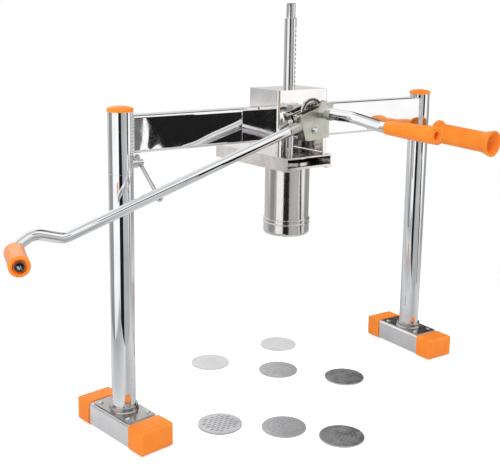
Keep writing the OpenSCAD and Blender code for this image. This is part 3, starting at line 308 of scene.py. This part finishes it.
def add_piece(name, points, faces, look, body):
    """A piece from points in millimetres in the press frame, which rides on a body."""
    mesh = bpy.data.meshes.new(name)
    mesh.from_pydata([PRESS + Vector(point) * MM for point in points], [], faces)
    build = bmesh.new()
    build.from_mesh(mesh)
    bmesh.ops.remove_doubles(build, verts=build.verts, dist=MERGE_DISTANCE)
    bmesh.ops.dissolve_degenerate(build, edges=build.edges, dist=MERGE_DISTANCE)
    bmesh.ops.recalc_face_normals(build, faces=build.faces)
    build.to_mesh(mesh)
    build.free()
    mesh.shade_smooth()
    mesh.set_sharp_from_angle(angle=SMOOTH_BELOW)
    mesh.materials.append(looks[look])
    obj = bpy.data.objects.new(name, mesh)
    scene.collection.objects.link(obj)
    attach(obj, body)


def turned(outline, frame_of, steps):
    """Points and faces of a profile of (radius, height) pairs turned about an axis."""
    count = len(outline)
    points = [frame_of(r * cos(2 * pi * k / steps), r * sin(2 * pi * k / steps), h)
              for k in range(steps) for r, h in outline]
    faces = [(k * count + i, k * count + (i + 1) % count,
              (k + 1) % steps * count + (i + 1) % count, (k + 1) % steps * count + i)
             for k in range(steps) for i in range(count)
             if outline[i][0] or outline[(i + 1) % count][0]]
    return points, faces


def make_front_panel():
    """The front wall above the tray's opening, with its lower edge folded in."""
    fold = [(FRONT_Y + SHEET - SHEET * cos(a), PANEL_Z[0] + SHEET - SHEET * sin(a))
            for a in (pi / 2 * k / FOLD_STEPS for k in range(FOLD_STEPS + 1))]
    outline = [(FRONT_Y, PANEL_Z[1]), *fold, (FRONT_Y + PANEL_LIP, PANEL_Z[0]),
               (FRONT_Y + PANEL_LIP, PANEL_Z[0] + SHEET), (FRONT_Y + SHEET, PANEL_Z[0] + SHEET),
               (FRONT_Y + SHEET, PANEL_Z[1])]
    count = len(outline)
    points = [(x, y, z) for x in PANEL_X for y, z in outline]
    faces = [(i, (i + 1) % count, count + (i + 1) % count, count + i) for i in range(count)]
    faces += [tuple(range(count)), tuple(range(2 * count - 1, count - 1, -1))]
    add_piece("front_panel", points, faces, "head_chrome", "frame")


def make_bearing_collar():
    """The bright collar round the front bearing, and the dark ring in its groove."""
    def at_wall(a, b, h):
        return SHAFT[0] + a, FRONT_Y - h, SHAFT[1] + b
    add_piece("bearing_collar", *turned(COLLAR, at_wall, ROUND_STEPS), "bright_steel", "frame")
    add_piece("bearing_shield", *turned(COLLAR_SHIELD, at_wall, ROUND_STEPS), "dark_steel", "frame")


def make_set_bolt():
    """The bolt through the socket tube that holds the crank rod."""
    def on_socket(a, b, h):
        x, y, z = -BOLT_AT[0] - a, -BOLT_AT[1] - b, BOLT_AT[2] + h
        return (SHAFT[0] + x * cos(CRANK_TILT) - z * sin(CRANK_TILT), y,
                SHAFT[1] + x * sin(CRANK_TILT) + z * cos(CRANK_TILT))
    add_piece("set_bolt_neck", *turned(BOLT_NECK, on_socket, NECK_STEPS), "bright_steel", "crank")
    add_piece("set_bolt_head", *turned(BOLT_HEAD, on_socket, HEX_SIDES), "bright_steel", "crank")


def make_welds():
    """A rippled bead down each corner between the beam's front and a sleeve."""
    rows = WELD_ROWS_PER_MM * (WELD_Z[1] - WELD_Z[0])
    span = (WELD_Z[1] - WELD_Z[0]) / rows
    radii = [WELD_R + WELD_RIPPLE * abs(sin(pi * k / WELD_RIPPLE_ROWS)) for k in range(rows + 1)]
    bead = [(0, 0), *((r, k * span) for k, r in enumerate(radii)), (0, rows * span)]
    for side, x in zip(("left", "right"), WELD_XS):
        def at_corner(a, b, h):
            return x + a, WELD_Y + b, WELD_Z[0] + h
        add_piece(side + "_weld", *turned(bead, at_corner, WELD_STEPS), "chrome_frame", "frame")


# Studio: white to the camera. Polished metal also sees standing cards near the
# object, a table top that ends in front of it, and a world beyond them
PANEL_TURN = atan2(-cos(CAM_YAW), -sin(CAM_YAW))

# Brightness of the world beyond the cards by the angle from the camera's back,
# positive to the camera's right: first for level rays, then for rays upward
PANELS = (
    (-180, 0.60), (-150, 0.58), (-136, 0.46), (-100, 0.48), (-92, 0.30), (-60, 0.02), (50, 0.02),
    (88, 0.30), (116, 0.30), (136, 0.36), (152, 0.60), (180, 0.60),
)
CEILING = (
    (-180, 0.85), (-120, 0.95), (-60, 0.95), (0, 0.80), (60, 0.90), (112, 0.95), (124, 0.10),
    (174, 0.06), (178, 0.70), (180, 0.85),
)
# Elevations over which level goes to upward, and upward to the grey overhead
RISE = (6, 11)
OVERHEAD = (60, 70)
STUDIO_LIGHT = 1.2
FILL_LIGHT = 0.55
WHITE = (1, 1, 1, 1)
TOP_GREY = (0.55, 0.55, 0.55, 1)

# Brightness of the table by the distance to the right of the press axis
TABLE = ((-1.5, 0.72), (-0.75, 0.38), (-0.42, 0.66), (-0.30, 0.42), (0.05, 0.62), (0.35, 0.40),
         (0.60, 0.60), (1.3, 0.30))
TABLE_REACH = 1.5
TABLE_FRONT = -0.390

# Cards: name, plan place of each end from the press axis, foot and head
# height, and brightness at the first end, at the second end and at the foot
CARDS = (
    ("left_white", (-0.752, 0.158), (-1.085, -0.706), -0.5, 0.72, 0.9, 1.0, 0.48),
    ("left_edge", (-0.589, 0.599), (-0.750, 0.164), -0.5, 0.72, 0.30, 0.26, 0.17),
    ("right_grey", (-1.143, -1.893), (0.599, -1.641), -0.9, 0.85, 0.36, 0.52, 0.40),
    ("right_white", (0.640, -1.593), (1.371, -0.731), -0.7, 0.85, 0.98, 0.95, 0.50),
)
# The camera and its stand, seen in the metal: height and half width
STAND = ((-0.7, 0.35), (0.15, 0.35), (0.30, 0.175), (0.60, 0.13), (0.80, 0.12))
STAND_PLACE = CAM_PLACE.xy
CARD_BLACK = 0.012
# A dark cloth that hangs aslant at the right: height and its two edges
CLOTH = ((-0.85, 1.50, 1.90), (-0.06, 0.76, 1.10), (0.12, 0.62, 0.92), (0.25, 0.60, 0.80),
         (0.26, 0.40, 0.80), (0.384, 0.375, 0.79), (0.45, 0.36, 0.76), (0.69, 0.28, 0.54),
         (1.00, -0.12, 0.24), (1.44, -0.20, -0.02))
CLOTH_Y = -1.10
# Height over which a card goes from its foot's brightness to its own
CARD_FADE = (-0.20, 0.13)


def around_share(angle):
    """An angle round the camera's back as a share from 0 to 1."""
    return (angle + 180) / 360


def height_share(angle):
    """An elevation as a share from 0 to 1."""
    return (angle + 90) / 180


def step(tree, factor, start, end):
    """Rises from 0 to 1 between two shares of the factor."""
    return ramp(tree, factor, ((start, 0.0), (end, 1.0))).outputs[0]


def mixed(tree, factor, a, b):
    """A colour mix; a and b are sockets or colours."""
    node = add(tree, "ShaderNodeMix", data_type="RGBA")
    tree.links.new(factor, node.inputs[0])
    for socket, value in ((node.inputs[6], a), (node.inputs[7], b)):
        if isinstance(value, tuple):
            socket.default_value = value
        else:
            tree.links.new(value, socket)
    return node.outputs[2]


def make_world():
    """White to the camera, an even fill to matt surfaces, and the studio to
    polished metal."""
    world = bpy.data.worlds.new("studio")
    scene.world = world
    world.use_nodes = True
    tree = world.node_tree
    tree.nodes.clear()
    coords = add(tree, "ShaderNodeTexCoord")
    split = add(tree, "ShaderNodeSeparateXYZ")
    wire(tree, coords, "Generated", split, "Vector")
    x, y, z = split.outputs
    azimuth = maths(tree, "ARCTAN2", y, x)
    wrapped = maths(tree, "WRAP", maths(tree, "SUBTRACT", azimuth, PANEL_TURN), pi)
    wrapped.node.inputs[2].default_value = -pi
    place = maths(tree, "DIVIDE", maths(tree, "ADD", wrapped, pi), 2 * pi)
    height = maths(tree, "ADD", maths(tree, "DIVIDE", maths(tree, "ARCSINE", z), pi), 0.5)
    level = ramp(tree, place, [(around_share(a), v) for a, v in PANELS]).outputs[0]
    upward = ramp(tree, place, [(around_share(a), v) for a, v in CEILING]).outputs[0]
    colour = mixed(tree, step(tree, height, *map(height_share, RISE)), level, upward)
    colour = mixed(tree, step(tree, height, *map(height_share, OVERHEAD)), colour, TOP_GREY)
    path = add(tree, "ShaderNodeLightPath")
    glossy = add(tree, "ShaderNodeBackground", in_Strength=STUDIO_LIGHT)
    tree.links.new(colour, glossy.inputs["Color"])
    fill = add(tree, "ShaderNodeBackground", in_Color=WHITE, in_Strength=FILL_LIGHT)
    backdrop = add(tree, "ShaderNodeBackground", in_Color=WHITE, in_Strength=1.0)
    lit = add(tree, "ShaderNodeMixShader")
    wire(tree, path, "Is Glossy Ray", lit, 0)
    wire(tree, fill, 0, lit, 1)
    wire(tree, glossy, 0, lit, 2)
    seen = add(tree, "ShaderNodeMixShader")
    direct = maths(tree, "MAXIMUM", path.outputs["Is Camera Ray"], path.outputs["Is Transmission Ray"])
    tree.links.new(direct, seen.inputs[0])
    wire(tree, lit, 0, seen, 1)
    wire(tree, backdrop, 0, seen, 2)
    out = add(tree, "ShaderNodeOutputWorld")
    wire(tree, seen, 0, out, "Surface")


def make_card(name, first, second, foot, head, at_first, at_second, at_foot):
    """A card between two ends, darker below the fade."""
    rows = (foot, *(z for z in CARD_FADE if z > foot), head)
    stand_card(name, [(Vector((*end, z)) + PRESS, value if z > CARD_FADE[0] else at_foot)
                      for z in rows for end, value in ((first, at_first), (second, at_second))])


def make_stand():
    across = Vector((cos(CAM_YAW), -sin(CAM_YAW), 0))
    middle = Vector((*STAND_PLACE, 0)) + PRESS
    stand_card("camera_stand", [(middle + across * side * half + Vector((0, 0, z)), CARD_BLACK)
                                for z, half in STAND for side in (-1, 1)])


def make_cloth():
    stand_card("dark_cloth", [(PRESS + Vector((x, CLOTH_Y, z)), CARD_BLACK)
                              for z, first, second in CLOTH for x in (first, second)])


def stand_card(name, places):
    """A standing card that only glossy rays see, from pairs of places and their
    brightness, which is written on the corners so that it changes between them."""
    mesh = bpy.data.meshes.new(name)
    faces = [(2 * i, 2 * i + 1, 2 * i + 3, 2 * i + 2) for i in range(len(places) // 2 - 1)]
    mesh.from_pydata([place for place, value in places], [], faces)
    shade = mesh.color_attributes.new("card_light", "FLOAT_COLOR", "POINT")
    for item, (place, value) in zip(shade.data, places):
        item.color = (value, value, value, 1)
    card = bpy.data.objects.new(name, mesh)
    scene.collection.objects.link(card)
    material = bpy.data.materials.new(name)
    tree = node_tree(material)
    out = add(tree, "ShaderNodeOutputMaterial")
    glow = add(tree, "ShaderNodeEmission", in_Strength=STUDIO_LIGHT)
    light = add(tree, "ShaderNodeAttribute", attribute_name="card_light")
    wire(tree, light, "Color", glow, "Color")
    wire(tree, glow, 0, out, "Surface")
    mesh.materials.append(material)
    for kind in ("camera", "diffuse", "transmission", "volume_scatter", "shadow"):
        setattr(card, "visible_" + kind, False)


def area_light(name, place, size, power):
    data = bpy.data.lights.new(name, "AREA")
    data.shape = "RECTANGLE"
    data.size, data.size_y = size
    data.energy = power
    light = bpy.data.objects.new(name, data)
    light.location = place
    light.rotation_euler = (Vector(LIGHT_TARGET) - Vector(place)).to_track_quat("-Z", "Y").to_euler()
    light.visible_glossy = False
    light.visible_camera = False
    scene.collection.objects.link(light)


FLOOR_RADIUS = 6
FLOOR_FADE = (0.62, 1.05)
FLOOR_DROP = 0.0002
FLOOR_PALE = (0.92, 0.92, 0.92, 1)
FLOOR_GLOW = 0.42


def make_floor():
    """A pale floor that keeps the object's shadow near it and fades to the
    backdrop's white farther out."""
    mesh = bpy.data.meshes.new("floor")
    build = bmesh.new()
    bmesh.ops.create_circle(build, cap_ends=True, segments=ROUND_STEPS, radius=FLOOR_RADIUS)
    build.to_mesh(mesh)
    build.free()
    floor = bpy.data.objects.new("floor", mesh)
    scene.collection.objects.link(floor)
    floor.location.z = -FLOOR_DROP
    material = bpy.data.materials.new("floor")
    tree = node_tree(material)
    out = add(tree, "ShaderNodeOutputMaterial")
    diffuse = add(tree, "ShaderNodeBsdfDiffuse", in_Color=FLOOR_PALE)
    glow = add(tree, "ShaderNodeEmission", in_Color=WHITE, in_Strength=FLOOR_GLOW)
    white = add(tree, "ShaderNodeEmission", in_Color=WHITE, in_Strength=1.0)
    both = add(tree, "ShaderNodeAddShader")
    coords = add(tree, "ShaderNodeTexCoord")
    reach = add(tree, "ShaderNodeVectorMath", operation="LENGTH")
    wire(tree, coords, "Object", reach, 0)
    share = maths(tree, "DIVIDE", reach.outputs["Value"], FLOOR_RADIUS)
    start, end = (distance / FLOOR_RADIUS for distance in FLOOR_FADE)
    far = ramp(tree, share, ((start, 0.0), (end, 1.0)), "EASE")
    near_or_far = add(tree, "ShaderNodeMixShader")
    wire(tree, far, "Color", near_or_far, 0)
    wire(tree, both, 0, near_or_far, 1)
    wire(tree, white, 0, near_or_far, 2)
    path = add(tree, "ShaderNodeLightPath")
    pick = add(tree, "ShaderNodeMixShader")
    wire(tree, diffuse, 0, both, 0)
    wire(tree, glow, 0, both, 1)
    wire(tree, path, "Is Camera Ray", pick, 0)
    wire(tree, diffuse, 0, pick, 1)
    wire(tree, near_or_far, 0, pick, 2)
    # Polished metal sees a grey table top, which ends in front of the feet
    table = add(tree, "ShaderNodeEmission", in_Strength=STUDIO_LIGHT)
    clear = add(tree, "ShaderNodeBsdfTransparent")
    split = add(tree, "ShaderNodeSeparateXYZ")
    wire(tree, coords, "Object", split, "Vector")
    along = maths(tree, "DIVIDE", maths(tree, "ADD", split.outputs["X"], TABLE_REACH - PRESS.x),
                  2 * TABLE_REACH)
    stripes = ramp(tree, along, [((x + TABLE_REACH) / (2 * TABLE_REACH), v) for x, v in TABLE])
    tree.links.new(stripes.outputs[0], table.inputs["Color"])
    reflected = add(tree, "ShaderNodeMixShader")
    on_table = maths(tree, "GREATER_THAN", split.outputs["Y"], PRESS.y + TABLE_FRONT)
    tree.links.new(on_table, reflected.inputs[0])
    wire(tree, clear, 0, reflected, 1)
    wire(tree, table, 0, reflected, 2)
    seen = add(tree, "ShaderNodeMixShader")
    wire(tree, path, "Is Glossy Ray", seen, 0)
    wire(tree, pick, 0, seen, 1)
    wire(tree, reflected, 0, seen, 2)
    wire(tree, seen, 0, out, "Surface")
    mesh.materials.append(material)


# Lights: name, place, side lengths and power. Each points at the press
LIGHTS = (
    ("key", (-1.9, -1.1, 2.2), (1.6, 1.6), 42),
    ("side", (1.9, -0.6, 1.6), (1.4, 1.4), 18),
    ("back", (0.2, 2.2, 2.0), (1.6, 1.2), 16),
)
LIGHT_TARGET = (0, 0, 0.3)

make_camera()
make_world()
for card in CARDS:
    make_card(*card)
make_stand()
make_cloth()
for light in LIGHTS:
    area_light(*light)
make_floor()
looks = make_materials()
dress_nodes(looks)
make_front_panel()
make_bearing_collar()
make_set_bolt()
make_welds()

scene.view_settings.view_transform = "Standard"
